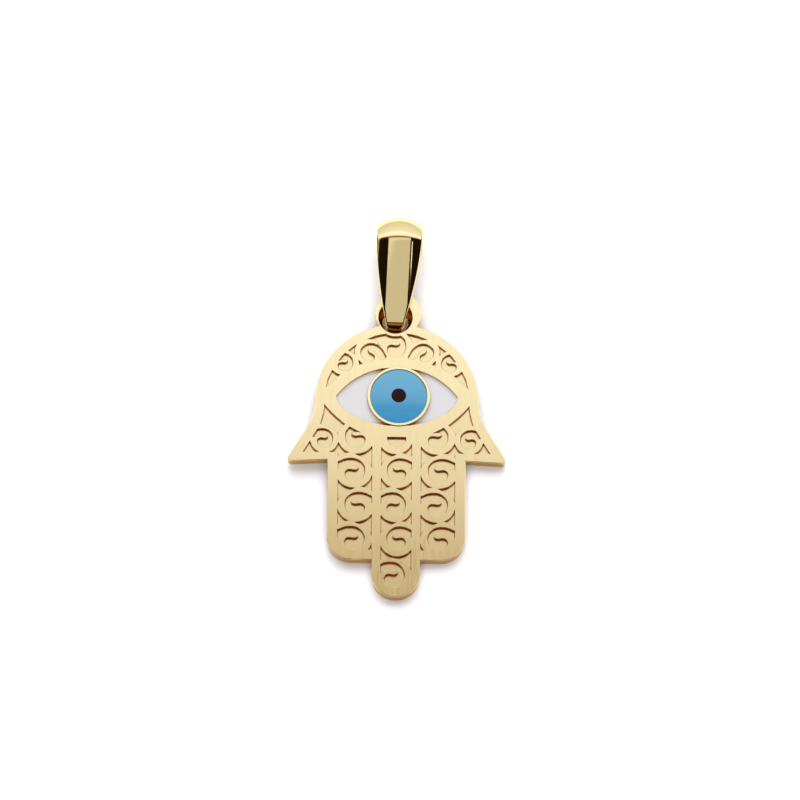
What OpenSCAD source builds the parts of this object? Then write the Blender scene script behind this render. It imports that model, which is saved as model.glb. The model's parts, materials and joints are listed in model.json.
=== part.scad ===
// Hamsa pendant, lying on its back: a cast gold hand with sunk scrollwork and an
// enamelled eye, linked to a folded strip bail. +Y runs from the fingers to the bail.
// Millimetres. The origin is on the ground, under the middle of the pendant.
// Inside the modules, the hand's own zero is the centre of its eye.

/* [Palm] */
// Full width over the two thumb tips
hand_w = 15; // [14:0.1:17]
// Thickness of the cast plate
plate_t = 0.8; // [0.7:0.05:1.2]
// Radius of the round palm
palm_r = 5.65; // [5.5:0.05:5.8]
// How far the palm's centre lies below the eye's centre
palm_sink = 0.35; // [0.2:0.05:0.5]
// From the eye's centre down to the thumb's underside at its tip
thumb_drop = 4.8; // [4.7:0.05:5.1]
// From the eye's centre down to the notch between thumb and fingers
thumb_notch = 4.67; // [4.4:0.01:4.7]
// Rounding of the thumb's tip
thumb_tip_r = 0.25; // [0.1:0.05:0.35]
// Radius of the hollow between the palm and the thumb's straight side
flare_r = 4; // [3.4:0.1:4.4]

/* [Fingers] */
// Width over the three fingers
fingers_w = 9.52; // [9.3:0.02:9.8]
// Width of the middle finger, whose tip is a half circle
middle_w = 3.34; // [3.1:0.02:3.5]
// From the eye's centre down to the ends of the side fingers
side_finger_end = 11.95; // [11.6:0.05:12.3]
// From the eye's centre down to the middle finger's tip
middle_end = 14.65; // [14.3:0.05:15]
// Rounding of a side finger's outer corner
finger_corner_r = 1.7; // [1.2:0.05:2]

/* [Hanging ring] */
// Outer radius of the ring at the top of the hand
ring_r = 1.59; // [1.5:0.01:1.8]
// From the eye's centre up to the ring's centre
ring_rise = 6.1; // [6:0.05:6.3]
// How far the ring lies right of the middle line
ring_right = 0.06; // [0:0.01:0.1]
// Radius, at the face, of the hole that the bail runs through
hole_r = 1.2; // [1.1:0.01:1.22]
// How far the hole lies to the left of the ring's centre
hole_left = 0.2; // [0:0.01:0.24]
// How far the hole lies below the ring's centre
hole_low = 0.28; // [0.1:0.01:0.32]
// Radius of the hole's throat at the back, from which its wall slopes out to the face
throat_r = 0.9; // [0.86:0.01:0.96]
// How far the throat lies below the hole
throat_low = 0.28; // [0.2:0.01:0.3]
// Width of plain metal kept round the hole
collar_w = 0.2; // [0.16:0.02:0.36]

/* [Scrollwork] */
// Depth of the sunk ground between the scrolls
relief_depth = 0.25; // [0.2:0.05:0.5]
// Width of the raised rim round the palm and thumbs
rim_w = 0.63; // [0.5:0.01:0.75]
// Width of the raised rim along the thumbs' outer sides
flare_rim_w = 0.68; // [0.6:0.01:0.8]
// Width of the raised rim under the thumbs
thumb_rim_w = 0.54; // [0.5:0.01:0.7]
// Width of the raised rim round the fingers
finger_rim_w = 0.71; // [0.65:0.01:0.9]
// Width of the two raised bars between the fingers
bar_w = 0.6; // [0.5:0.02:0.7]
// From the eye's centre down to the first row of scrolls
first_row = 3.03; // [2.95:0.01:3.1]
// From the last row's centre down to the side fingers' ends
last_row_rise = 1.45; // [1.35:0.05:1.55]
// Clear distance between one scroll's pad and the next in a column
pad_gap = 0.07; // [0.03:0.01:0.12]
// From the middle finger's tip up to its own scroll
tip_scroll_rise = 1.5; // [1.4:0.05:1.6]
// Radius of the half moon under the eye
half_moon_r = 0.65; // [0.5:0.05:0.75]
// From the eye's centre down to the half moon's straight edge
half_moon_drop = 3; // [2.95:0.01:3.1]

/* [Eye] */
// Width of the almond recess
almond_w = 8.36; // [8:0.02:8.6]
// Height of the almond's upper arc above the eye's centre
almond_above = 2.14; // [2.1:0.01:2.2]
// Depth of the almond's fuller lower edge below the eye's centre
almond_below = 2.15; // [2.1:0.01:2.2]
// Fullness of the lower edge: 2 is half an ellipse, less is more pointed
almond_fullness = 1.86; // [1.7:0.02:2]
// Depth of the almond recess
eye_depth = 0.45; // [0.35:0.05:0.5]
// Plain border beyond each corner of the almond
border_side = 1.22; // [1.1:0.02:1.3]
// Plain border above the almond
border_above = 0.7; // [0.6:0.01:0.75]
// Plain border below the almond
border_below = 1.03; // [0.9:0.01:1.05]
// Outer radius of the bezel ring round the iris
bezel_r = 2.17; // [2.16:0.01:2.25]
// Wall of the bezel ring
bezel_wall = 0.2; // [0.18:0.01:0.3]
// How far the bezel lies right of the middle line
bezel_right = 0.12; // [0:0.01:0.15]
// How far the bezel stands above the plate
bezel_proud = 0.1; // [0.06:0.01:0.3]
// How far the white enamel lies below the plate's face
enamel_drop = 0.25; // [0.1:0.01:0.25]
// How far the iris's edge lies below the bezel's top
iris_drop = 0.06; // [0.03:0.01:0.1]
// Height of the iris's dome
iris_dome = 0.2; // [0.15:0.05:0.5]
// Radius of the pupil
pupil_r = 0.5; // [0.4:0.02:0.6]
// How far the pupil stands above the iris
pupil_proud = 0.03; // [0.01:0.01:0.06]

/* [Bail] */
// Length of the bail, from its tip to its top
bail_len = 8.2; // [7.6:0.1:9]
// Width of the strip at the widest
bail_w = 3.2; // [3:0.05:3.6]
// Width of the strip at the tip
bail_tip_w = 1; // [0.8:0.05:1.1]
// Outer radius of the fold at the tip, seen from the side
bail_tip_r = 0.8; // [0.75:0.05:1.1]
// Outer radius of the fold at the top, seen from the side
bail_top_r = 1.65; // [1.5:0.05:2]
// Thickness of the strip
bail_wall = 0.3; // [0.25:0.05:0.35]
// Radius of the strip's rounded face, seen along the strip
bail_dome_r = 2.6; // [2.3:0.1:3.5]
// How late the front leg narrows: 1 is a straight taper
bail_taper = 1.7; // [1.3:0.1:2]
// How late the back leg narrows
back_taper = 1.2; // [1:0.1:1.7]
// Turn of the bail on the ring, its top toward +X
bail_turn = 2.8; // [0:0.2:6]

/* [Fits] */
// Gap between a set piece and its seat, on every side
fit_gap = 0.03; // [0.02:0.01:0.05]
// Gap between the bail and the throat's wall
bail_gap = 0.06; // [0.05:0.01:0.12]
// Gap between the bail's back leg and the ring that lies over it
rest_gap = 0.05; // [0.03:0.01:0.1]

/* [Hidden] */
$fn = 96;

GOLD = "#E9C983";
WHITE_ENAMEL = "#EDEBE6";
BLUE_ENAMEL = "#4FA6D6";
DARK_ENAMEL = "#2A1512";

// Depth of an arc of radius r below its crown, at half its chord
function sag(r, half) = r - sqrt(r * r - half * half);

// Thumbs: a hollow arc leaves the palm's widest point, and a straight side that touches
// it meets the round tip. flare_turn is that side's angle from the vertical.
flare_at = [palm_r + flare_r, -palm_sink];
thumb_tip_at = [hand_w / 2 - thumb_tip_r, thumb_tip_r - thumb_drop];
flare_span = flare_at - thumb_tip_at;
flare_turn = atan2(flare_span.y, flare_span.x) - acos((flare_r + thumb_tip_r) / norm(flare_span));
flare_inward = [-cos(flare_turn), -sin(flare_turn)];
function flare_end(inset) = flare_at + (flare_r + inset) * flare_inward;

// Heights through the plate
ground_z = plate_t - relief_depth;
eye_floor_z = plate_t - eye_depth;
bezel_top = plate_t + bezel_proud;
iris_edge = bezel_top - iris_drop;

// Round pieces of the eye
seat_r = bezel_r - bezel_wall;
iris_r = seat_r - fit_gap;
pupil_seat_r = pupil_r + fit_gap;
pupil_seat_depth = iris_dome;
iris_ball_r = (iris_r * iris_r + iris_dome * iris_dome) / (2 * iris_dome);
iris_ball_z = iris_edge + iris_dome - iris_ball_r;

// Scroll rows, from the palm down the fingers
rows = 4;
last_row = side_finger_end - last_row_rise;
row_pitch = (last_row - first_row) / (rows - 1);
scroll_r = (row_pitch - pad_gap) / 2;
panel_in = middle_w / 2;
panel_out = fingers_w / 2 - finger_rim_w;
side_column = (panel_in + panel_out) / 2;
function row_y(i) = -first_row - i * row_pitch;

// Columns of the scroll tables: the centre, the size and breadth as shares of the usual
// scroll's, the side it opens to (1 is right), its turn that lowers the open side, how
// far its lower half is drawn in, and how far its pad swells over the open side.
AT = 0;
SIZE = 1;
WIDE = 2;
OPENS = 3;
TURN = 4;
FLAT = 5;
SWELL = 6;
pad_swell = 0.24;
pad_shift = 0.06;

// A place on the palm, as a share of its radius and an angle from +X
function on_palm(share, angle) = [0, -palm_sink] + share * palm_r * [cos(angle), sin(angle)];

// Scrolls of the right half, repeated on the left as in a mirror
paired_scrolls = concat(
    [for (i = [0:rows - 1])
        [[side_column, row_y(i)], 1, 1.06, i % 2 == 0 ? -1 : 1, 0, 0, pad_swell]],
    [
        [[0.657 * hand_w / 2, -0.685 * thumb_notch], 0.82, 1, 1, 0, 0, pad_swell],
        [on_palm(0.715, 60.4), 0.9, 1, -1, 38, 0.22, pad_swell],
        [on_palm(0.795, 37.3), 0.82, 1, 1, 6, 0.15, pad_swell]
    ]);

// Scrolls on the middle line
middle_scrolls = concat(
    [for (i = [1:rows - 1]) [[0, row_y(i)], 1, 1, i % 2 == 1 ? 1 : -1, 0, 0, pad_swell]],
    [
        [[-0.06 * middle_w / 2, tip_scroll_rise - middle_end], 1.08, 1, -1, 0, 0, pad_swell / 2],
        [on_palm(0.708, 90.7), 1, 1, -1, 0, 0, -pad_swell]
    ]);

// The half moon's pad under the eye, as a scroll's
moon_pad = [[0, row_y(0)], 1, 1, -1, 0, 0, 0];

// The cut of a scroll that opens to the right, in shares of its pad's radius: over the
// arch from its open end, round the lobe, back under the tongue and along its top
scroll_shape = [
    [1.06, 0.50], [0.835, 0.615], [0.545, 0.75], [0.205, 0.80], [-0.125, 0.735],
    [-0.38, 0.545], [-0.515, 0.275], [-0.535, -0.05], [-0.42, -0.365], [-0.21, -0.545],
    [0.04, -0.60], [0.31, -0.54], [0.49, -0.365], [0.55, -0.14], [0.48, 0.045],
    [0.33, 0.12], [0.165, 0.11], [0.04, 0.085], [-0.09, 0.115], [-0.195, 0.205],
    [-0.155, 0.30], [0, 0.34], [0.25, 0.31], [0.58, 0.225], [0.87, 0.155], [1.06, 0.125]
];
curve_steps = 3;
pad_step = 7.5;
swell_end = 100;

// Closed smooth curve through the points of p (Catmull-Rom)
function curve_point(a, b, c, d, t) =
    0.5 * (2 * b + (c - a) * t + (2 * a - 5 * b + 4 * c - d) * t * t
        + (3 * b - a - 3 * c + d) * t * t * t);
function closed_curve(p) =
    let (n = len(p))
    [for (i = [0:n - 1]) for (j = [0:curve_steps - 1])
        curve_point(p[(i + n - 1) % n], p[i], p[(i + 1) % n], p[(i + 2) % n], j / curve_steps)];

// Outline of a scroll's raised pad: a circle that swells over the open side
function pad_shape(swell) =
    [for (a = [0:pad_step:359])
        (1 + (a < swell_end ? swell * sin(a * 180 / swell_end) : 0)) * [cos(a), sin(a)]
            + [pad_shift, 0]];

// Points of a scroll's own shape p, put in the place that its row of the table gives
function placed(p, row) =
    [for (q = p) let (
            x = q.x * row[WIDE],
            y = q.y < 0 ? q.y * (1 - row[FLAT]) : q.y,
            c = cos(row[TURN]),
            s = sin(row[TURN]))
        row[AT] + row[SIZE] * scroll_r * [row[OPENS] * (x * c + y * s), y * c - x * s]];

// Bail, seen from the side: two circles that rest on the ground, and the strip round them
hole_at = [ring_right - hole_left, ring_rise - hole_low];
tip_edge_r = bail_tip_r - sag(bail_dome_r, bail_tip_w / 2);
throat_y = hole_at.y - throat_low;
bail_tip_y = throat_y - sqrt(pow(throat_r - bail_gap, 2) - pow(bail_tip_w / 2, 2)) + tip_edge_r;
bail_top_y = bail_tip_y + bail_len - bail_tip_r - bail_top_r;
front_slope = 2 * atan((bail_top_r - bail_tip_r) / (bail_top_y - bail_tip_y));
fold_steps = 12;
leg_steps = 10;
face_steps = 7;

// Width of the strip at y, on the leg with that taper
function strip_w(y, taper) =
    let (f = min(1, max(0, (bail_top_y - y) / (bail_top_y - bail_tip_y + bail_tip_r))))
    bail_tip_w + (bail_w - bail_tip_w) * (1 - pow(f, taper));

// Height of the strip's upper edges where its face lies on the ground
function strip_rise(w) =
    bail_wall + (bail_dome_r - bail_wall) * (1 - cos(asin(w / 2 / bail_dome_r)));

// The hand rests on three places: its middle fingertip, the corner of its right side
// finger and, through the ring, the bail's back leg. It tilts about the line on the
// ground that touches both rounded ends; rest_turn is that line's angle from +X.
corner_from_tip = [
    fingers_w / 2 - finger_corner_r,
    middle_end - middle_w / 2 - side_finger_end + finger_corner_r
];
rest_turn = atan2(corner_from_tip.y, corner_from_tip.x)
    - asin((finger_corner_r - middle_w / 2) / norm(corner_from_tip));
rest_at = [0, middle_w / 2 - middle_end] + middle_w / 2 * [sin(rest_turn), -cos(rest_turn)];
bar_y = hole_at.y + hole_r;
bar_strip_w = strip_w(bar_y, back_taper);
strip_edge = [hole_at.x + bar_strip_w / 2, bar_y];
lean = asin((strip_rise(bar_strip_w) + rest_gap)
    / ((strip_edge - rest_at) * [-sin(rest_turn), cos(rest_turn)]));
hole_shift = -plate_t / 2 * sin(lean) * cos(rest_turn);

// Middle of the whole pendant, between the fingertip and the bail's top
middle_y = (bail_top_y + bail_top_r + hole_shift - middle_end) / 2;

module both_sides() {
    children();
    mirror([1, 0]) children();
}

// Everything that belongs to the hand, tilted to its place of rest
module resting() {
    translate([0, -middle_y, 0])
        translate([rest_at.x, rest_at.y, 0])
            rotate([0, 0, rest_turn])
                rotate([lean, 0, 0])
                    rotate([0, 0, -rest_turn])
                        translate([-rest_at.x, -rest_at.y, 0])
                            children();
}

module thumb_outline() {
    difference() {
        polygon([
            [0, -palm_sink],
            flare_at,
            flare_end(0),
            thumb_tip_at - thumb_tip_r * flare_inward,
            thumb_tip_at,
            thumb_tip_at - [0, thumb_tip_r],
            [fingers_w / 2, -thumb_notch],
            [0, -thumb_notch]
        ]);
        translate(flare_at) circle(flare_r);
    }
    translate(thumb_tip_at) circle(thumb_tip_r);
}

// Block from the middle line down to y = -end, its lower outer corner rounded
module half_block(from_x, to_x, end, r) {
    translate([from_x, r - end]) square([to_x - from_x, end - r]);
    translate([from_x, -end]) square([to_x - r - from_x, end]);
    translate([to_x - r, r - end]) circle(r);
}

module hand_outline() {
    translate([0, -palm_sink]) circle(palm_r);
    both_sides() {
        thumb_outline();
        half_block(0, fingers_w / 2, side_finger_end, finger_corner_r);
    }
    translate([-middle_w / 2, middle_w / 2 - middle_end])
        square([middle_w, middle_end - middle_w / 2]);
    translate([0, middle_w / 2 - middle_end]) circle(middle_w / 2);
    translate([ring_right, ring_rise]) circle(ring_r);
}

// Half-plane shape under an arc that meets y = 0 at (-half_w, 0) and (half_w, 0)
module under_arc(half_w, height, depth) {
    r = (half_w * half_w + height * height) / (2 * height);
    intersection() {
        translate([0, height - r]) circle(r);
        translate([-half_w, -depth]) square([2 * half_w, depth + height]);
    }
}

// The almond recess, or the same drawn in on every side
module eye_opening(inset = 0) {
    half_w = almond_w / 2 - 2 * inset;
    above = almond_above - inset;
    below = almond_below - inset;
    power = 2 / almond_fullness;
    intersection() {
        under_arc(half_w, above, below);
        polygon(concat(
            [for (a = [180:4:360])
                [half_w * sign(cos(a)) * pow(abs(cos(a)), power), -below * pow(abs(sin(a)), power)]],
            [[half_w, above], [-half_w, above]]));
    }
}

module eye_border() {
    half_w = almond_w / 2 + border_side;
    above = almond_above + border_above;
    below = almond_below + border_below;
    intersection() {
        under_arc(half_w, above, below);
        mirror([0, 1]) under_arc(half_w, below, above);
    }
}

// Ground that may be sunk: inside the rims, clear of the eye's border, the bars and
// the hanging ring's collar
module relief_field() {
    flare_foot = thumb_rim_w - thumb_notch;
    flare_fall = flare_end(flare_rim_w).y - flare_foot;
    difference() {
        union() {
            translate([0, -palm_sink]) circle(palm_r - rim_w);
            both_sides() {
                difference() {
                    polygon([
                        [0, -palm_sink],
                        flare_at,
                        flare_end(flare_rim_w),
                        [flare_end(flare_rim_w).x + flare_fall * tan(flare_turn), flare_foot],
                        [0, flare_foot]
                    ]);
                    translate(flare_at) circle(flare_r + flare_rim_w);
                }
                half_block(panel_in, panel_out, side_finger_end - finger_rim_w,
                    finger_corner_r - finger_rim_w);
            }
            translate([bar_w - panel_in, panel_in - middle_end])
                square([2 * (panel_in - bar_w), middle_end - panel_in]);
            translate([0, panel_in - middle_end]) circle(panel_in - bar_w);
        }
        eye_border();
        both_sides()
            translate([panel_in - bar_w, -side_finger_end])
                square([bar_w, side_finger_end]);
        translate(hole_at) circle(hole_r + collar_w);
    }
}

// A scroll's shape at each of its places, on both halves
module scroll_pads() {
    both_sides()
        for (row = paired_scrolls)
            polygon(placed(pad_shape(row[SWELL]), row));
    for (row = concat(middle_scrolls, [moon_pad]))
        polygon(placed(pad_shape(row[SWELL]), row));
}

module scroll_cuts() {
    both_sides()
        for (row = paired_scrolls)
            polygon(placed(closed_curve(scroll_shape), row));
    for (row = middle_scrolls)
        polygon(placed(closed_curve(scroll_shape), row));
}

module half_moon() {
    translate([0, -half_moon_drop])
        intersection() {
            circle(half_moon_r);
            translate([-half_moon_r, -half_moon_r]) square([2 * half_moon_r, half_moon_r]);
        }
}

module sunk_ground() {
    half_moon();
    difference() {
        relief_field();
        difference() {
            scroll_pads();
            scroll_cuts();
        }
    }
}

module bezel() {
    translate([bezel_right, 0, 0])
        difference() {
            cylinder(r = bezel_r, h = bezel_top);
            translate([0, 0, eye_floor_z]) cylinder(r = seat_r, h = bezel_top);
        }
}

// The hole in the ring: a throat, and a cone that has the hole's radius at the face
module hanging_hole() {
    translate([hole_at.x, throat_y, -plate_t]) cylinder(r = throat_r, h = 3 * plate_t);
    translate([hole_at.x, hole_at.y, 0])
        cylinder(r1 = throat_r / 2, r2 = 2 * hole_r - throat_r / 2, h = 2 * plate_t);
}

module hand() {
    color(GOLD) resting() {
        difference() {
            linear_extrude(plate_t) hand_outline();
            translate([0, 0, ground_z]) linear_extrude(plate_t) sunk_ground();
            translate([0, 0, eye_floor_z]) linear_extrude(plate_t) eye_opening();
            hanging_hole();
        }
        bezel();
    }
}

// White field of the eye on one side of the bezel; side is -1 for the left
module enamel_field(side) {
    color(WHITE_ENAMEL) resting()
        translate([0, 0, eye_floor_z + fit_gap])
            linear_extrude(eye_depth - enamel_drop - fit_gap)
                difference() {
                    eye_opening(fit_gap);
                    translate([bezel_right, 0]) circle(bezel_r + fit_gap);
                    translate([side > 0 ? -almond_w : 0, -almond_w / 2]) square(almond_w);
                }
}

module enamel_left() {
    enamel_field(-1);
}

module enamel_right() {
    enamel_field(1);
}

module iris() {
    color(BLUE_ENAMEL) resting() translate([bezel_right, 0, 0])
        difference() {
            intersection() {
                translate([0, 0, eye_floor_z + fit_gap])
                    cylinder(r = iris_r, h = bezel_top + iris_dome);
                translate([0, 0, iris_ball_z]) sphere(iris_ball_r);
            }
            translate([0, 0, iris_edge + iris_dome - pupil_seat_depth])
                cylinder(r = pupil_seat_r, h = bezel_top);
        }
}

module pupil() {
    color(DARK_ENAMEL) resting() translate([bezel_right, 0, 0])
        intersection() {
            translate([0, 0, iris_edge + iris_dome - pupil_seat_depth + fit_gap])
                cylinder(r = pupil_r, h = bezel_top);
            translate([0, 0, iris_ball_z]) sphere(iris_ball_r + pupil_proud);
        }
}

// Stations along the strip's outer face: [y, z, angle of the outward normal], round the
// tip, up the front leg, round the top and back along the leg that lies on the ground
function fold_stations(y, r, from, to) =
    [for (i = [0:fold_steps]) let (a = from + (to - from) * i / fold_steps)
        [y + r * cos(a), r + r * sin(a), a]];
function leg_stations(p, q) =
    [for (i = [1:leg_steps - 1]) p + (q - p) * i / leg_steps];
function bail_stations() =
    let (
        tip = fold_stations(bail_tip_y, bail_tip_r, 270, 90 + front_slope),
        top = fold_stations(bail_top_y, bail_top_r, 90 + front_slope, -90),
        back_end = [tip[0].x, tip[0].y, -90]
    )
    concat(tip, leg_stations(tip[fold_steps], top[0]), top, leg_stations(top[fold_steps], back_end));

// Section of the strip at one station: its rounded face, then its inside
function strip_section(s) =
    let (
        taper = sin(s.z) < 0 ? back_taper : bail_taper,
        spread = asin(strip_w(s.x, taper) / 2 / bail_dome_r),
        out = [0, cos(s.z), sin(s.z)],
        at = [0, s.x, s.y] - bail_dome_r * out,
        inner_r = bail_dome_r - bail_wall
    )
    concat(
        [for (j = [0:face_steps]) let (a = spread * (2 * j / face_steps - 1))
            at + bail_dome_r * (cos(a) * out + [sin(a), 0, 0])],
        [for (j = [0:face_steps]) let (a = spread * (1 - 2 * j / face_steps))
            at + inner_r * (cos(a) * out + [sin(a), 0, 0])]);

module bail() {
    stations = bail_stations();
    n = len(stations);
    m = 2 * (face_steps + 1);
    points = [for (s = stations) each strip_section(s)];
    faces = [for (i = [0:n - 1]) for (j = [0:m - 1])
        let (
            a = i * m + j,
            b = i * m + (j + 1) % m,
            c = (i + 1) % n * m + j,
            d = (i + 1) % n * m + (j + 1) % m
        )
        each [[a, b, d], [a, d, c]]];
    color(GOLD)
        translate([hole_at.x, hole_at.y + hole_shift - middle_y, 0])
            rotate([0, 0, -bail_turn])
                translate([0, -hole_at.y, 0])
                    polyhedron(points, faces);
}

hand();
enamel_left();
enamel_right();
iris();
pupil();
bail();
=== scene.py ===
"""Looks of the hamsa pendant: the brushed gold hand with its buffed edges, the enamelled
eye, the folded bail, and the stage that it lies on.

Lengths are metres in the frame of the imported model. "Hand space" is the hand before it
was laid down: its back is z = 0 and the middle of its eye is x = y = 0.
"""

import json
import math

import bmesh
import bpy
import numpy as np
from bpy.props import FloatProperty, FloatVectorProperty, PointerProperty
from mathutils import Matrix, Vector


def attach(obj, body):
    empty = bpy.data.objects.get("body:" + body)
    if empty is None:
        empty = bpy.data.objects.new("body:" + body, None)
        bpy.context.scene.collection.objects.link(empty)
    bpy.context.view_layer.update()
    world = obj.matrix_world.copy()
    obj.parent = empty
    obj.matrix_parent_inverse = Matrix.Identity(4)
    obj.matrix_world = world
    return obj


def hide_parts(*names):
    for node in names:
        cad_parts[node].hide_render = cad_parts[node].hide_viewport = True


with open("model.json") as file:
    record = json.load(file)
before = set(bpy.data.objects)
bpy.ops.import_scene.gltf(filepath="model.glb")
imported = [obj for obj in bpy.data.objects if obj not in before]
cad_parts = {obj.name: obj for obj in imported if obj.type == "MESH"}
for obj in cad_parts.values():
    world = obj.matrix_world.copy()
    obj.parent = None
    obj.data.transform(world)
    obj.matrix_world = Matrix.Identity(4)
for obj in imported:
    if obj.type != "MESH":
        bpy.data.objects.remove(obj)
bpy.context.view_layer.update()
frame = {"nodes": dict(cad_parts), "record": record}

bl_info = {
    "name": "Hamsa pendant looks",
    "version": (1, 0, 0),
    "blender": (4, 5, 0),
    "location": "3D View > Sidebar > Pendant",
    "description": "Dresses the packed hamsa pendant in gold and enamel",
    "category": "Object",
}

MM = 0.001
UP = Vector((0, 0, 1))


# Kinds of setting


def srgb(code):
    """Linear colour with full alpha from an sRGB hex code, by the curve of that standard."""
    values = [int(code[i : i + 2], 16) / 255 for i in (1, 3, 5)]
    linear = (v / 12.92 if v <= 0.04045 else ((v + 0.055) / 1.055) ** 2.4 for v in values)
    return (*linear, 1.0)


def colour_property(name, description, code):
    return FloatVectorProperty(
        name=name, description=description, default=srgb(code)[:3], subtype="COLOR",
        min=0.0, max=1.0, size=3,
    )


def length_property(name, description, mm):
    return FloatProperty(
        name=name, description=description, default=mm * MM, unit="LENGTH", precision=6
    )


def roughness_property(name, description, default):
    return FloatProperty(
        name=name, description=description, default=default, min=0.01, max=1.0, subtype="FACTOR"
    )


def angle_property(name, description, degrees, limit=math.radians(89)):
    return FloatProperty(
        name=name, description=description, default=math.radians(degrees), subtype="ANGLE",
        min=-limit, max=limit,
    )


# Where the hand lies


def mount(name):
    """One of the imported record's mounts."""
    return next(m for m in frame["record"]["mounts"] if m["name"] == name)


def laid_down():
    """Matrix from hand space to the frame. The mount on the back gives the point behind the
    eye's middle and the direction of the back; the hand was tilted there without a twist."""
    back = mount("back")
    turn = UP.rotation_difference(-Vector(back["axis"])).to_matrix().to_4x4()
    return Matrix.Translation(Vector(back["pos_m"])) @ turn


# Meshes


def put_in_scene(name, data):
    """Object of this name in the scene that shows a mesh, a lamp or a camera."""
    thing = bpy.data.objects.new(name, data)
    bpy.context.scene.collection.objects.link(thing)
    return thing


def stand_for(node, slot, mesh, *materials):
    """Puts a finished mesh in the scene, in place of a node of the frame."""
    for material in materials:
        mesh.materials.append(material)
    piece = put_in_scene(mesh.name, mesh)
    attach(piece, "root")
    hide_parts(node)
    return piece


def weld(mesh, reach=0.0001 * MM):
    """Merges points that lie closer together than `reach`, and turns the faces of a closed
    mesh outwards."""
    shape = bmesh.new()
    shape.from_mesh(mesh)
    bmesh.ops.remove_doubles(shape, verts=shape.verts, dist=reach)
    bmesh.ops.dissolve_degenerate(shape, dist=reach, edges=shape.edges)
    bmesh.ops.recalc_face_normals(shape, faces=shape.faces)
    closed = not any(edge.is_boundary for edge in shape.edges)
    if closed and shape.calc_volume(signed=True) < 0:
        bmesh.ops.reverse_faces(shape, faces=shape.faces)
    shape.to_mesh(mesh)
    shape.free()


def grid_mesh(name, points, wrap_rows, wrap_columns):
    """Smooth mesh of quads over a grid of points, shape (rows, columns, 3), closed on itself
    in either direction where asked."""
    rows, columns = points.shape[:2]
    r = np.arange(rows if wrap_rows else rows - 1)[:, None]
    c = np.arange(columns if wrap_columns else columns - 1)[None, :]
    here, below = r * columns, (r + 1) % rows * columns
    c_next = (c + 1) % columns
    quads = np.stack([here + c, here + c_next, below + c_next, below + c], -1)
    mesh = bpy.data.meshes.new(name)
    mesh.from_pydata(points.reshape(-1, 3).tolist(), [], quads.reshape(-1, 4).tolist())
    weld(mesh)
    mesh.shade_smooth()
    return mesh


def round_off(profile, at, radius, steps=6):
    """Profile, an array of (r, z) points, with its corner number `at` replaced by an arc: the
    curve (1-t)^2 A + 2t(1-t) B + t^2 C from one side, through the corner B, to the other. It
    starts and ends `radius` from the corner, or half way along a short side."""
    corner = profile[at]
    before, after = profile[at - 1] - corner, profile[(at + 1) % len(profile)] - corner
    start = corner + before * min(0.5, radius / np.linalg.norm(before))
    end = corner + after * min(0.5, radius / np.linalg.norm(after))
    t = np.linspace(0, 1, steps)[:, None]
    arc = (1 - t) ** 2 * start + 2 * t * (1 - t) * corner + t**2 * end
    return np.concatenate([profile[:at], arc, profile[at + 1 :]])


def turned_mesh(name, profile, centre, segments=128):
    """Surface of revolution: the point (r, z) of the profile, turned by the angle a about
    the axis through `centre`, is (r cos a, r sin a, z). The profile runs from the axis at
    the bottom, outside round, to the axis at the top, and is closed there."""
    a = np.linspace(0, 2 * math.pi, segments, endpoint=False)[None, :]
    r, z = profile[:, 0:1], profile[:, 1:2]
    points = np.stack([centre[0] + r * np.cos(a), centre[1] + r * np.sin(a), z + 0 * a], -1)
    return grid_mesh(name, points, False, True)


def iris_and_pupil(looks, iris_steps=40, pupil_steps=12):
    """Profiles, as (r, z) points, of the iris with the seat for its pupil, and of the pupil.
    The dome of height h over the radius R is part of a ball of radius (R^2 + h^2) / 2h. The
    pupil's top is part of a ball about the same centre, a little larger."""
    ball = (looks.iris_radius**2 + looks.iris_dome**2) / (2 * looks.iris_dome)
    centre = looks.iris_edge + looks.iris_dome - ball

    def dome(r_from, r_to, radius, steps):
        r = np.linspace(r_from, r_to, steps)
        return np.stack([r, centre + np.sqrt(radius**2 - r**2)], 1)

    hole = looks.pupil_radius + looks.gap
    seat = looks.iris_edge + looks.seat_gap
    foot = looks.floor_height + looks.seat_gap
    iris = np.concatenate([
        [(0, foot), (looks.iris_radius, foot)],
        dome(looks.iris_radius, hole, ball, iris_steps),
        [(hole, seat), (0, seat)],
    ])
    pupil = np.concatenate([
        [(0, seat + looks.gap), (looks.pupil_radius, seat + looks.gap)],
        dome(looks.pupil_radius, 0, ball + looks.pupil_proud, pupil_steps),
    ])
    # In both profiles the third point is where the side meets the dome.
    rim = 2
    return [round_off(profile, rim, looks.soft_edge) for profile in (iris, pupil)]


def bail_path(looks, fold_steps=48, leg_steps=40):
    """Stations round the bail's closed side view, as rows of (y, z, a): a is the angle of
    the outward normal. The fold at the tip is an arc about (tip_y, r1), the fold at the
    top one about (0, r2), and straight legs touch both arcs. y = 0 is the top fold."""
    r1, r2 = looks.tip_radius, looks.top_radius
    tip_y = r1 + r2 - looks.length
    slope = 2 * math.atan((r2 - r1) / -tip_y)

    def fold(y, r, start, end):
        a = np.linspace(start, end, fold_steps)
        return np.stack([y + r * np.cos(a), r + r * np.sin(a), a], 1)

    def leg(p, q):
        return p + (q - p) * np.linspace(0, 1, leg_steps)[1:-1, None]

    half = math.pi / 2
    tip = fold(tip_y, r1, 3 * half, half + slope)
    top = fold(0.0, r2, half + slope, -half)
    back_end = tip[0] * (1, 1, 0) - (0, 0, half)
    return np.concatenate([tip, leg(tip[-1], top[0]), top, leg(top[-1], back_end)])


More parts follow.
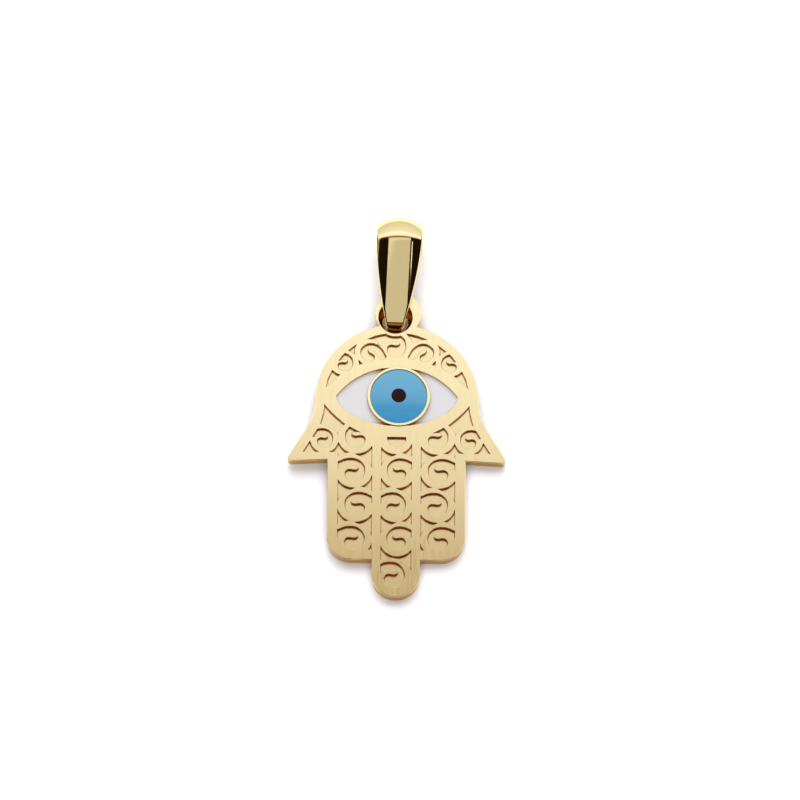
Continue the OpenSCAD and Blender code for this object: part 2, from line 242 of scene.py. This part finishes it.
def strip_round(looks, path, face_steps=25, end_steps=12):
    """The strip carried along the path. At each station its section is a band of even wall
    between two arcs about one centre, closed at each side by a half circle. The width is
    w1 + (w2 - w1) (1 - f^taper), w1 at the tip and w2 at the widest, where f goes from 0 at
    the top fold to 1 at the tip, and the back leg has a taper of its own."""
    y, z, a = path.T
    tip_y = looks.tip_radius + looks.top_radius - looks.length
    f = np.clip(-y / (looks.tip_radius - tip_y), 0, 1)
    taper = np.where(np.sin(a) < 0, looks.back_taper, looks.taper)
    width = looks.tip_width + (looks.width - looks.tip_width) * (1 - f**taper)
    middle = looks.dome - looks.wall / 2
    spread = np.arcsin((width - looks.wall) / 2 / middle)
    t = np.linspace(-1, 1, face_steps)
    outer = np.stack([np.outer(spread, t), np.full((len(y), face_steps), looks.wall / 2)], -1)
    inner = outer[:, ::-1] * (1, -1)
    b = np.linspace(0, math.pi, end_steps + 2)[1:-1]
    end = np.stack([np.sin(b) * looks.wall / 2 / middle, np.cos(b) * looks.wall / 2], -1)[None]
    right = end + np.stack([spread, 0 * spread], -1)[:, None]
    left = right[:, ::-1] * (-1, 1)
    section = np.concatenate([outer, right, inner, left], 1)
    angle, reach = section[..., :1], middle + section[..., 1:]
    out = np.stack([0 * a, np.cos(a), np.sin(a)], -1)[:, None]
    base = np.stack([0 * y, y, z], -1)[:, None] - looks.dome * out
    sideways = np.array([1.0, 0, 0])
    return base + reach * (np.cos(angle) * out + np.sin(angle) * sideways)


def enamel_body(looks, side, along=70, across=50, places=4001):
    """One white field, side -1 for the left: a fired surface, straight walls and a flat
    foot. Rings of points run over the surface and back under it. The outline is the almond's
    upper arc U and lower edge L, from the almond's corner T to the bezel's arc C, which
    starts at the last of many places along U and L that lie outside the bezel. Inside it
    the surface is the Coons patch P = (1-v) L(u) + v U(u) + (1-u) T + u C(v), less the same
    mix of the corners. It sinks by sink s with s = exp(-(c / sink reach)^2), where c is the
    distance to the nearer of the narrow corners at the bezel, and rises against the walls
    by creep (1-s) exp(-d / creep reach), where d is the distance to the outline."""
    # The almond's corner is sharp, so a hairline gap is twice as long there.
    half = looks.almond_width / 2 - 2 * looks.gap
    above, below = looks.almond_above - looks.gap, looks.almond_below - looks.gap
    ring = looks.bezel_radius + looks.gap
    arc = (half**2 + above**2) / (2 * above)

    def upper(x):
        return above - arc + np.sqrt(arc**2 - x**2)

    def lower(x):
        n = looks.almond_fullness
        return -below * (1 - np.clip(np.abs(x) / half, 0, 1) ** n) ** (1 / n)

    def eased(steps):
        return 0.5 - 0.5 * np.cos(np.linspace(0, math.pi, steps))

    def to_ring(edge):
        x = side * half * np.linspace(1, 0, places)
        inside = np.hypot(x - looks.right, edge(x)) < ring
        x = side * half + (x[np.argmax(inside) - 1] - side * half) * eased(along)
        return np.stack([x, edge(x)], -1)

    top, bottom = to_ring(upper), to_ring(lower)
    start, end = (math.atan2(y, x - looks.right) % (2 * math.pi) for x, y in (bottom[-1], top[-1]))
    if side > 0:
        start -= 2 * math.pi
    angle = start + (end - start) * eased(across)
    curve = np.stack([looks.right + ring * np.cos(angle), ring * np.sin(angle)], -1)
    u, v = eased(along)[:, None, None], eased(across)[None, :, None]
    edges = (1 - v) * bottom[:, None] + v * top[:, None] + (1 - u) * top[0] + u * curve[None]
    flat = edges - ((1 - u) * top[0] + u * ((1 - v) * bottom[-1] + v * top[-1]))
    outline = np.concatenate([top, bottom, curve])
    d = np.linalg.norm(flat[:, :, None] - outline[None, None], axis=-1).min(-1)
    c = np.minimum(*(np.linalg.norm(flat - edge[-1], axis=-1) for edge in (top, bottom)))
    sunk = np.exp(-((c / looks.sink_reach) ** 2))
    creep = looks.creep * np.exp(-d / looks.creep_reach)
    height = looks.white_height + (1 - sunk) * creep - looks.sink * sunk
    depth = np.full_like(height, looks.floor_height + looks.seat_gap)
    glaze = np.concatenate([flat, height[..., None]], -1)
    foot = np.concatenate([flat, depth[..., None]], -1)[:, ::-1]
    closing = np.concatenate([foot[-1:, ::-1], foot[-1:]], 1)
    return np.concatenate([np.concatenate([glaze, foot], 1), closing])


# Materials


def add_node(tree, kind, links=(), stops=(), **settings):
    """Adds a node, sets its attributes or else its inputs, and links sources to its inputs.
    A colour ramp also takes its stops, from low to high, as (position, linear colour)."""
    node = tree.nodes.new(kind)
    for name, value in settings.items():
        if hasattr(node, name):
            setattr(node, name, value)
        else:
            node.inputs[name.replace("_", " ").title()].default_value = value
    for number, (position, colour) in enumerate(stops):
        present = node.color_ramp.elements
        stop = present[number] if number < len(present) else present.new(position)
        stop.position, stop.color = position, colour
    for socket, source in links:
        tree.links.new(source, node.inputs[socket])
    return node


def new_material(name, **surface):
    """Material, its tree and its only shader so far, a Principled BSDF with these values."""
    material = bpy.data.materials.new(name)
    material.use_nodes = True
    tree = material.node_tree
    shader = tree.nodes["Principled BSDF"]
    for socket, value in surface.items():
        shader.inputs[socket.replace("_", " ")].default_value = value
    return material, tree, shader


def satin_gold(looks):
    """18 carat gold, cast and satin brushed along the hand. The brushing spreads the
    reflections into a soft sheen, and shows as faint streaks 0.1 mm apart, coarser than
    the real 0.03 mm so that they show at all. Their roughness differs a little."""
    spacing, length, depth = 0.1 * MM, 2 * MM, 0.01 * MM
    smoothest, roughest = looks.satin_roughness - 0.04, looks.satin_roughness + 0.04
    material, tree, shader = new_material(
        "gold_18k_satin_brushed",
        Metallic=1.0, Roughness=looks.satin_roughness, Base_Color=(*looks.gold, 1),
    )
    where = add_node(tree, "ShaderNodeTexCoord")
    along = add_node(
        tree, "ShaderNodeMapping", [("Vector", where.outputs["Object"])],
        Scale=(1 / spacing, 1 / length, 1 / spacing),
    )
    streaks = add_node(
        tree, "ShaderNodeTexNoise", [("Vector", along.outputs[0])], Scale=1.0, Detail=3.0
    )
    bump = add_node(
        tree, "ShaderNodeBump", [("Height", streaks.outputs["Fac"])],
        Strength=0.35, Distance=depth,
    )
    tree.links.new(bump.outputs[0], shader.inputs["Normal"])
    worn = add_node(
        tree, "ShaderNodeMapRange", [("Value", streaks.outputs["Fac"])],
        From_min=0.3, From_max=0.7, To_min=smoothest, To_max=roughest,
    )
    tree.links.new(worn.outputs[0], shader.inputs["Roughness"])
    return material


def mirror_gold(name, roughness, colour):
    """18 carat gold that isn't brushed: a mirror with the metal's own colour, just softened
    by the faint unevenness that casting and buffing leave, about 0.5 mm across."""
    across, depth = 0.5 * MM, 0.01 * MM
    material, tree, shader = new_material(
        name, Metallic=1.0, Roughness=roughness, Base_Color=(*colour, 1)
    )
    where = add_node(tree, "ShaderNodeTexCoord")
    uneven = add_node(
        tree, "ShaderNodeTexNoise", [("Vector", where.outputs["Object"])],
        Scale=1 / across, Detail=2.0,
    )
    bump = add_node(
        tree, "ShaderNodeBump", [("Height", uneven.outputs["Fac"])],
        Strength=0.05, Distance=depth,
    )
    tree.links.new(bump.outputs[0], shader.inputs["Normal"])
    return material


def cast_ground(looks):
    """18 carat gold as cast, at the bottom of the scrollwork, where no wheel comes. Its
    corners, where less than the whole sky shows, get painted shade: a brown mixed into the
    gold, up to the property corner wide, which darkens the foot of each wall."""
    # Painted shade: the occlusion ramp mixes a dark brown into the gold near the walls.
    full_shade, no_shade = 0.5, 0.85
    material, tree, shader = new_material(
        "gold_18k_cast_ground", Metallic=1.0, Roughness=looks.ground_roughness
    )
    sky = add_node(tree, "ShaderNodeAmbientOcclusion", samples=8, Distance=looks.corner)
    shading = add_node(
        tree, "ShaderNodeValToRGB", [("Fac", sky.outputs["AO"])],
        [(full_shade, (*looks.painted_shade, 1)), (no_shade, (*looks.gold, 1))],
    )
    tree.links.new(shading.outputs[0], shader.inputs["Base Color"])
    return material


def hand_golds(looks):
    """The hand's finishes, in the order of FACE, WALL, GROUND, BUFFED and SIDE."""
    return (
        satin_gold(looks),
        # Cast walls of the scrollwork: painted shade and bounce light, a colour deeper and more
        # orange than the face, standing in for light that bounces from gold to gold before it leaves.
        mirror_gold("gold_18k_cast_wall_painted_shade", looks.wall_roughness, looks.wall),
        # Sunk ground, with painted shade at the foot of each wall.
        cast_ground(looks),
        # Bezel and edges, buffed with a wheel: fine bright lines round the shapes.
        mirror_gold("gold_18k_polished", looks.polish_roughness, looks.gold),
        # Outer sides and back, filed and rubbed smooth, with painted shade: a darker rim under the
        # bright face.
        mirror_gold("gold_18k_filed_side_painted_shade", looks.wall_roughness, looks.side),
    )


ENAMEL_IOR = 1.5


def white_enamel(looks):
    """Opaque white vitreous enamel, fired: a glassy coat over a soft white."""
    material, _, _ = new_material(
        "enamel_white_fired", Roughness=0.3, IOR=ENAMEL_IOR, Coat_Weight=0.6, Coat_Roughness=0.08,
        Base_Color=(*looks.white_enamel, 1),
    )
    return material


def blue_enamel(looks):
    """Translucent blue enamel over a pale ground, fired and domed: a glossy blue, with painted
    shade deeper toward the fingers and painted light paler at the top. The ramp's positions
    are shares of the way up the iris."""
    material, tree, shader = new_material("enamel_blue_domed", Roughness=0.12, IOR=ENAMEL_IOR)
    where = add_node(tree, "ShaderNodeTexCoord")
    parts = add_node(tree, "ShaderNodeSeparateXYZ", [("Vector", where.outputs["Object"])])
    middle = (laid_down() @ Vector((looks.right, 0, looks.iris_edge))).y
    share = add_node(
        tree, "ShaderNodeMapRange", [("Value", parts.outputs["Y"])],
        From_min=middle - looks.iris_radius, From_max=middle + looks.iris_radius,
    )
    # Painted light and shade: the iris is painted paler at the top and darker toward the fingers.
    lit_top, shaded_low, shaded_bottom = srgb("#5992AB"), srgb("#4186A9"), srgb("#1E7CA8")
    blue = add_node(
        tree, "ShaderNodeValToRGB", [("Fac", share.outputs[0])],
        [(0.05, shaded_bottom), (0.35, shaded_low), (0.6, (*looks.blue_enamel, 1)), (1.0, lit_top)],
    )
    tree.links.new(blue.outputs[0], shader.inputs["Base Color"])
    return material


def dark_enamel(looks):
    """Dark brown enamel, stoned to a soft shine."""
    material, _, _ = new_material(
        "enamel_dark_fired", Roughness=0.4, IOR=ENAMEL_IOR, Specular_IOR_Level=0.1,
        Base_Color=(*looks.dark_enamel, 1),
    )
    return material


# Settings


class PENDANT_PG_metal(bpy.types.PropertyGroup):
    gold: colour_property("Gold", "Colour of the 18 carat gold, face on", "#F9E4A6")
    # Painted shade and bounce light: the walls' colour is painted deeper and more orange than the
    # gold.
    wall: colour_property("Wall", "Deeper colour of the scrollwork's walls", "#E2A444")
    # Painted shade: the outer sides are coloured darker than the gold.
    side: colour_property("Side", "Colour of the filed outer sides", "#C89843")
    # Painted shade: the colour mixed into the gold at the foot of each wall.
    painted_shade: colour_property("Shade", "Colour of the gold under the film of rouge", "#A4601E")
    satin_roughness: roughness_property("Satin roughness", "Roughness of the brushed face", 0.23)
    polish_roughness: roughness_property("Polish roughness", "Roughness of buffed edges", 0.08)
    wall_roughness: roughness_property("Wall roughness", "Roughness of walls and sides", 0.15)
    ground_roughness: roughness_property("Ground roughness", "Roughness of the sunk ground", 0.26)
    # Reach of the painted shade from a wall.
    corner: length_property("Corner", "How far the film of rouge reaches from a wall", 0.12)
    edge: length_property("Edge", "Width of the buffed edge between the face and a wall", 0.035)
    face_height: length_property("Face height", "From the back up to the face", 0.8)
    hole_right: length_property("Hole right", "From the middle to the ring's hole", -0.14)
    hole_rise: length_property("Hole rise", "Height of the ring's hole up the hand", 5.82)
    hole_reach: length_property("Hole reach", "Radius round the whole wall of that hole", 1.3)


class PENDANT_PG_eye(bpy.types.PropertyGroup):
    white_enamel: colour_property("White", "Colour of the white enamel", "#C1BFC0")
    blue_enamel: colour_property("Blue", "Colour of the iris at its middle", "#4E8CAA")
    dark_enamel: colour_property("Dark", "Colour of the pupil", "#200A08")
    right: length_property("Right", "How far the iris lies right of the middle", 0.12)
    iris_radius: length_property("Iris radius", "Radius of the iris", 1.965)
    iris_edge: length_property("Iris edge", "Height of the iris's edge over the hand's back", 0.84)
    iris_dome: length_property("Iris dome", "Height of the iris's dome", 0.2)
    pupil_radius: length_property("Pupil radius", "Radius of the pupil", 0.5)
    pupil_proud: length_property("Pupil proud", "How far the pupil stands above the iris", 0.02)
    bezel_radius: length_property("Bezel radius", "Outer radius of the bezel", 2.17)
    almond_width: length_property("Almond width", "Width of the almond recess", 8.36)
    almond_above: length_property("Almond above", "Height of the almond's upper arc", 2.14)
    almond_below: length_property("Almond below", "Depth of the almond's lower edge", 2.15)
    almond_fullness: FloatProperty(
        name="Fullness", description="Power of the lower edge's curve", default=1.86, min=1.0
    )
    floor_height: length_property("Floor height", "Recess's floor over the hand's back", 0.35)
    white_height: length_property("White height", "White enamel over the hand's back", 0.6)
    creep: length_property("Creep", "How far the fired enamel rises against the walls", 0.08)
    creep_reach: length_property("Creep reach", "How far from the wall that rise fades", 0.08)
    sink: length_property("Sink", "How far the enamel sinks in its corners at the bezel", 0.22)
    sink_reach: length_property("Sink reach", "How far from those corners it sinks", 0.9)
    gap: length_property("Gap", "Hairline gap round each fired piece", 0.005)
    seat_gap: length_property("Seat gap", "Gap under each fired piece", 0.02)
    soft_edge: length_property("Soft edge", "Rounding of the iris's and pupil's edges", 0.04)


class PENDANT_PG_bail(bpy.types.PropertyGroup):
    length: length_property("Length", "From the bail's tip to its top", 8.2)
    width: length_property("Width", "Width of the strip at the widest", 3.2)
    tip_width: length_property("Tip width", "Width of the strip at the tip", 1.0)
    tip_radius: length_property("Tip radius", "Outer radius of the fold at the tip", 0.8)
    top_radius: length_property("Top radius", "Outer radius of the fold at the top", 1.65)
    wall: length_property("Wall", "Thickness of the strip", 0.3)
    dome: length_property("Dome", "Radius of the strip's rounded face", 2.6)
    taper: FloatProperty(
        name="Taper", description="How late the front leg narrows", default=1.7, min=1.0
    )
    back_taper: FloatProperty(
        name="Back taper", description="How late the back leg narrows", default=1.2, min=1.0
    )
    roughness: roughness_property("Roughness", "Roughness of the buffed strip", 0.05)


class PENDANT_PG_stage(bpy.types.PropertyGroup):
    elevation: angle_property("Elevation", "Camera's height angle over the floor", 68.6)
    roll: angle_property("Roll", "Camera's roll to the left", 0.38)
    distance: length_property("Distance", "From the camera to the middle of the view", 920.0)
    aim_right: length_property("Aim right", "From the eye's middle to the view's middle", 0.21)
    aim_up: length_property("Aim up", "The same, up the hand", -0.25)
    lens: FloatProperty(
        name="Lens", description="Focal length in mm", default=600.0, min=1.0, unit="CAMERA"
    )
    tent: FloatProperty(
        name="Tent", description="Brightness of the sheet that the gold mirrors", default=1.0, min=0.0
    )
    fill: FloatProperty(
        name="Fill", description="Radiance of the lamps that whiten floor and enamel",
        default=3.1, min=0.0,
    )


# Hand

# Numbers of the hand's material slots
FACE, WALL, GROUND, BUFFED, SIDE = range(5)


def finish_number(looks, face, level, to_hand):
    """Number of the finish of one of the hand's faces: its level faces are the brushed face
    or the sunk ground, what rises above the face is the bezel, what reaches down to the
    back outside the ring's hole is an outer side or the back, and the rest is wall."""
    same_height, sunk, near_back = 0.02 * MM, 0.1 * MM, 0.05 * MM
    middle = to_hand @ face.calc_center_median()
    lowest = min((to_hand @ corner.co).z for corner in face.verts)
    from_hole = (middle.xy - Vector((looks.hole_right, looks.hole_rise))).length
    if level and abs(middle.z - looks.face_height) < same_height:
        return FACE
    if level and middle.z < looks.face_height - sunk:
        return GROUND
    if middle.z > looks.face_height:
        return BUFFED
    if lowest < near_back and from_hole >= looks.hole_reach:
        return SIDE
    return WALL


def mark_rims(shape, up, sharp=math.radians(40), narrow=math.radians(80)):
    """Bevel weight 1 for the edges between a level face and a wall that stand proud, but 0
    where two of them meet in a narrow corner, which no buffing wheel rounds."""
    level_cosine = 0.99
    weight = shape.edges.layers.float.new("bevel_weight_edge")
    rims = {
        edge for edge in shape.edges
        if edge.is_convex and edge.calc_face_angle(0) > sharp
        and any(abs(face.normal.dot(up)) > level_cosine for face in edge.link_faces)
    }
    for edge in rims:
        edge[weight] = 1.0
    for corner in shape.verts:
        meeting = [edge for edge in corner.link_edges if edge in rims]
        ways = [edge.other_vert(corner).co - corner.co for edge in meeting]
        if len(ways) != 2 or ways[0].angle(ways[1]) < narrow:
            for edge in meeting:
                edge[weight] = 0.0


class PENDANT_OT_hand(bpy.types.Operator):
    """Give the hand its satin face, cast walls and ground, filed sides and buffed edges"""

    bl_idname = "pendant.hand"
    bl_label = "Hand"

    def execute(self, context):
        looks = context.scene.pendant_metal
        merge, flat, level_cosine = 0.004 * MM, math.radians(0.5), 0.999
        crease, bevel_merge = math.radians(25), 0.0005 * MM
        shape = bmesh.new()
        shape.from_mesh(frame["nodes"]["hand"].data)
        bmesh.ops.remove_doubles(shape, verts=shape.verts, dist=merge)
        bmesh.ops.dissolve_limit(shape, angle_limit=flat, verts=shape.verts, edges=shape.edges)
        to_hand = laid_down().inverted()
        up = laid_down().to_3x3() @ UP
        for face in shape.faces:
            level = face.normal.dot(up) > level_cosine
            face.material_index = finish_number(looks, face, level, to_hand)
            face.smooth = not level
        for edge in shape.edges:
            edge.smooth = edge.calc_face_angle(0) < crease
        mark_rims(shape, up)
        mesh = bpy.data.meshes.new("hand_gold")
        shape.to_mesh(mesh)
        shape.free()
        piece = stand_for("hand", "gold_satin", mesh, *hand_golds(looks))
        bevel = piece.modifiers.new("buffed_edge", "BEVEL")
        bevel.width = looks.edge
        bevel.segments = 3
        bevel.use_clamp_overlap = False
        bevel.limit_method = "WEIGHT"
        bevel.material = BUFFED
        piece.modifiers.new("fused", "WELD").merge_threshold = bevel_merge
        return {"FINISHED"}


# Eye


class PENDANT_OT_eye(bpy.types.Operator):
    """Fill the eye: the white fields, the domed iris and the pupil"""

    bl_idname = "pendant.eye"
    bl_label = "Eye"

    def execute(self, context):
        looks = context.scene.pendant_eye
        lay = laid_down()
        white = white_enamel(looks)
        for side, node in ((-1, "enamel_left"), (1, "enamel_right")):
            mesh = grid_mesh(node + "_glaze", enamel_body(looks, side), False, True)
            mesh.transform(lay)
            stand_for(node, "enamel_white", mesh, white)
        iris, pupil = iris_and_pupil(looks)
        for name, profile, node, slot, enamel in (
            ("iris_dome", iris, "iris", "enamel_blue", blue_enamel(looks)),
            ("pupil_dot", pupil, "pupil", "enamel_dark", dark_enamel(looks)),
        ):
            mesh = turned_mesh(name, profile, (looks.right, 0.0))
            mesh.transform(lay)
            stand_for(node, slot, mesh, enamel)
        return {"FINISHED"}


# Bail


class PENDANT_OT_bail(bpy.types.Operator):
    """Fold the polished strip into the bail"""

    bl_idname = "pendant.bail"
    bl_label = "Bail"

    def execute(self, context):
        looks = context.scene.pendant_bail
        gold = context.scene.pendant_metal.gold
        chain = mount("chain")
        across = Vector(chain["axis"])
        turn = Matrix((across, UP.cross(across), UP)).transposed()
        points = strip_round(looks, bail_path(looks)) @ np.array(turn).T
        on_floor = np.array(chain["pos_m"]) * (1, 1, 0)
        mesh = grid_mesh("bail_strip", points + on_floor, True, True)
        # Rolled strip, buffed to a mirror: it shows the studio in bands, pale and dark.
        mirror = mirror_gold("gold_18k_mirror", looks.roughness, gold)
        stand_for("bail", "gold_polished", mesh, mirror)
        return {"FINISHED"}


# Stage

# Half the side of the floor, and the side of a lamp
FLOOR_HALF, LAMP_SIZE = 1.5, 1.2

# Each lamp's place, and its share of the fill
LAMPS = {"fill_north": ((0, 0.7, 1.0), 1.0), "fill_south": ((0, -0.8, 0.9), 0.95)}

# The tent is a white sheet that hangs over the pendant and down behind it, in a dark room.
# Its rows are degrees from overhead toward the north, brightness and colour, with a warm
# brown card at its southern end. The bail's front leg mirrors it at -12 degrees, the bail's
# tip south and its top fold north of that, and the level faces at 19 degrees, blurred.
TENT_RADIUS = 0.085
CARD = "#CC8A30"
TENT_GLOW = [
    (-45, 0.6, CARD), (-29, 0.6, CARD), (-21, 0.12, CARD), (-17, 0.04, CARD),
    (-14, 0.04, CARD), (-13, 0.64, "#FFFDFF"), (-3, 0.64, "#FFFDFF"), (-1.5, 0.9, "#F8FAFF"),
    (3, 0.85, "#F8FAFF"), (6, 0.28, "#FFCF70"), (10, 0.3, "#FFCF70"), (15, 1.2, "#F0EEFF"),
    (20, 1.45, "#E4E8FF"), (28, 1.55, "#E2E8FF"), (40, 1.05, "#F4F8FF"), (89, 0.8, "#F8FAFF"),
]

# A slit of white light beside the tent, which the bail mirrors as a fine bright line: its
# ends in x and y, and its brightness
SLIT_X, SLIT_Y, SLIT_GLOW = (0.067, 0.073), (-0.0085, -0.0055), 1.4


def tent_sheet(overhead=0.66, aside=2.7, widens=(7, 11), rows=257, columns=9):
    """The tent as a grid of points, and the colour of each row's glow. The point at the
    angle a from overhead, a share s across, is (w s, R sin a, R cos a), where the half
    width w is `overhead` R up to the first of the angles in `widens`, in degrees, and
    `aside` R from the second on."""
    stops, brightness, codes = zip(*TENT_GLOW)
    degrees = np.linspace(stops[0], stops[-1], rows)
    a = np.radians(degrees)
    s = np.linspace(-1, 1, columns)
    behind = np.clip((degrees - widens[0]) / (widens[1] - widens[0]), 0, 1)
    half = TENT_RADIUS * (overhead + (aside - overhead) * behind)
    y, z = TENT_RADIUS * np.sin(a), TENT_RADIUS * np.cos(a)
    points = np.stack([np.outer(half, s), np.outer(y, 1 + 0 * s), np.outer(z, 1 + 0 * s)], -1)
    lit = np.array([share * np.array(srgb(code)) for share, code in zip(brightness, codes)])
    return points, np.stack([np.interp(degrees, stops, channel) for channel in lit.T], 1)


def slit():
    """The slit as a grid of four points, level with the top of the tent, and the colour of
    each row's glow."""
    x, y = np.meshgrid(SLIT_X, SLIT_Y)
    return np.stack([x, y, np.full_like(x, TENT_RADIUS)], -1), SLIT_GLOW * np.ones((2, 4))


def hang_up(name, points, glow, strength):
    """Adds a glowing sheet for the gold to mirror: a grid of points, and the linear colour
    of each row's glow. The camera doesn't see it, and it throws no shadow."""
    mesh = grid_mesh(name, points, False, False)
    colours = np.repeat(glow, points.shape[1], 0).astype(np.float32)
    mesh.attributes.new("glow", "FLOAT_COLOR", "POINT").data.foreach_set("color", colours.ravel())
    cloth = bpy.data.materials.new(name + "_cloth_lit")
    cloth.use_nodes = True
    tree = cloth.node_tree
    tree.nodes.remove(tree.nodes["Principled BSDF"])
    row = add_node(tree, "ShaderNodeAttribute", attribute_name="glow")
    lit = add_node(tree, "ShaderNodeEmission", [("Color", row.outputs["Color"])], Strength=strength)
    tree.links.new(lit.outputs[0], tree.nodes["Material Output"].inputs["Surface"])
    mesh.materials.append(cloth)
    sheet = put_in_scene(name, mesh)
    sheet.visible_camera = False
    sheet.visible_shadow = False


def aim(thing, at, target, roll=0.0):
    """Places a camera or lamp at a point, looking at another, with the top of its view up."""
    gaze = (target - at).normalized()
    side = gaze.cross(UP).normalized()
    turn = Matrix((side, side.cross(gaze), -gaze)).transposed() @ Matrix.Rotation(roll, 3, "Z")
    thing.matrix_world = Matrix.Translation(at) @ turn.to_4x4()


def add_lamp(name, at, radiance):
    """Square lamp that looks at the middle of the floor and shows in no mirror."""
    light = bpy.data.lights.new(name, "AREA")
    light.shape = "SQUARE"
    light.size = LAMP_SIZE
    light.energy = radiance * math.pi * LAMP_SIZE**2
    lamp = put_in_scene(name, light)
    lamp.visible_glossy = False
    aim(lamp, Vector(at), Vector((0, 0, 0)))


class PENDANT_OT_stage(bpy.types.Operator):
    """Set the floor, the lights and the camera"""

    bl_idname = "pendant.stage"
    bl_label = "Stage"

    def execute(self, context):
        scene = context.scene
        looks = scene.pendant_stage
        ends = (-FLOOR_HALF, FLOOR_HALF)
        mesh = bpy.data.meshes.new("floor")
        mesh.from_pydata([(x, y, 0) for y in ends for x in ends], [], [(0, 1, 3, 2)])
        # Matt white paper: an even, bright ground that takes soft shadows and no mirror image.
        paper, _, _ = new_material("paper_white_matt", Roughness=0.9, Base_Color=srgb("#F4F4F4"))
        mesh.materials.append(paper)
        put_in_scene("floor", mesh)

        for name, (at, share) in LAMPS.items():
            add_lamp(name, at, looks.fill * share)
        hang_up("tent", *tent_sheet(), looks.tent)
        hang_up("tent_gap", *slit(), looks.tent)

        # The dark room, which the bail's sides mirror
        world = bpy.data.worlds.new("studio")
        scene.world = world
        world.use_nodes = True
        world.node_tree.nodes["Background"].inputs["Color"].default_value = srgb("#1C120C")

        camera = bpy.data.cameras.new("camera")
        camera.lens = looks.lens
        camera.sensor_width = 36.0
        camera.clip_start = 0.01
        stand = put_in_scene("camera", camera)
        on_face = Vector((looks.aim_right, looks.aim_up, scene.pendant_metal.face_height))
        target = laid_down() @ on_face
        back = Vector((0, -math.cos(looks.elevation), math.sin(looks.elevation)))
        aim(stand, target + back * looks.distance, target, looks.roll)
        scene.camera = stand
        scene.view_settings.view_transform = "Standard"
        return {"FINISHED"}


# Add-on


class PENDANT_PT_panel(bpy.types.Panel):
    """Buttons and settings of the pendant's looks"""

    bl_idname = "PENDANT_PT_panel"
    bl_label = "Hamsa pendant"
    bl_space_type = "VIEW_3D"
    bl_region_type = "UI"
    bl_category = "Pendant"

    def draw(self, context):
        for operator, group in OPERATORS:
            box = self.layout.box()
            box.operator(operator.bl_idname)
            settings = getattr(context.scene, group)
            for name in settings.__annotations__:
                box.prop(settings, name)


OPERATORS = (
    (PENDANT_OT_hand, "pendant_metal"),
    (PENDANT_OT_eye, "pendant_eye"),
    (PENDANT_OT_bail, "pendant_bail"),
    (PENDANT_OT_stage, "pendant_stage"),
)
SETTINGS = {
    "pendant_metal": PENDANT_PG_metal,
    "pendant_eye": PENDANT_PG_eye,
    "pendant_bail": PENDANT_PG_bail,
    "pendant_stage": PENDANT_PG_stage,
}
CLASSES = (*SETTINGS.values(), *(operator for operator, _ in OPERATORS), PENDANT_PT_panel)


def register():
    for cls in CLASSES:
        bpy.utils.register_class(cls)
    for name, group in SETTINGS.items():
        setattr(bpy.types.Scene, name, PointerProperty(type=group))


def unregister():
    for name in SETTINGS:
        delattr(bpy.types.Scene, name)
    for cls in reversed(CLASSES):
        bpy.utils.unregister_class(cls)


def main():
    register()
    for operator, _ in OPERATORS:
        area, name = operator.bl_idname.split(".")
        getattr(getattr(bpy.ops, area), name)()


if __name__ == "__main__":
    main()
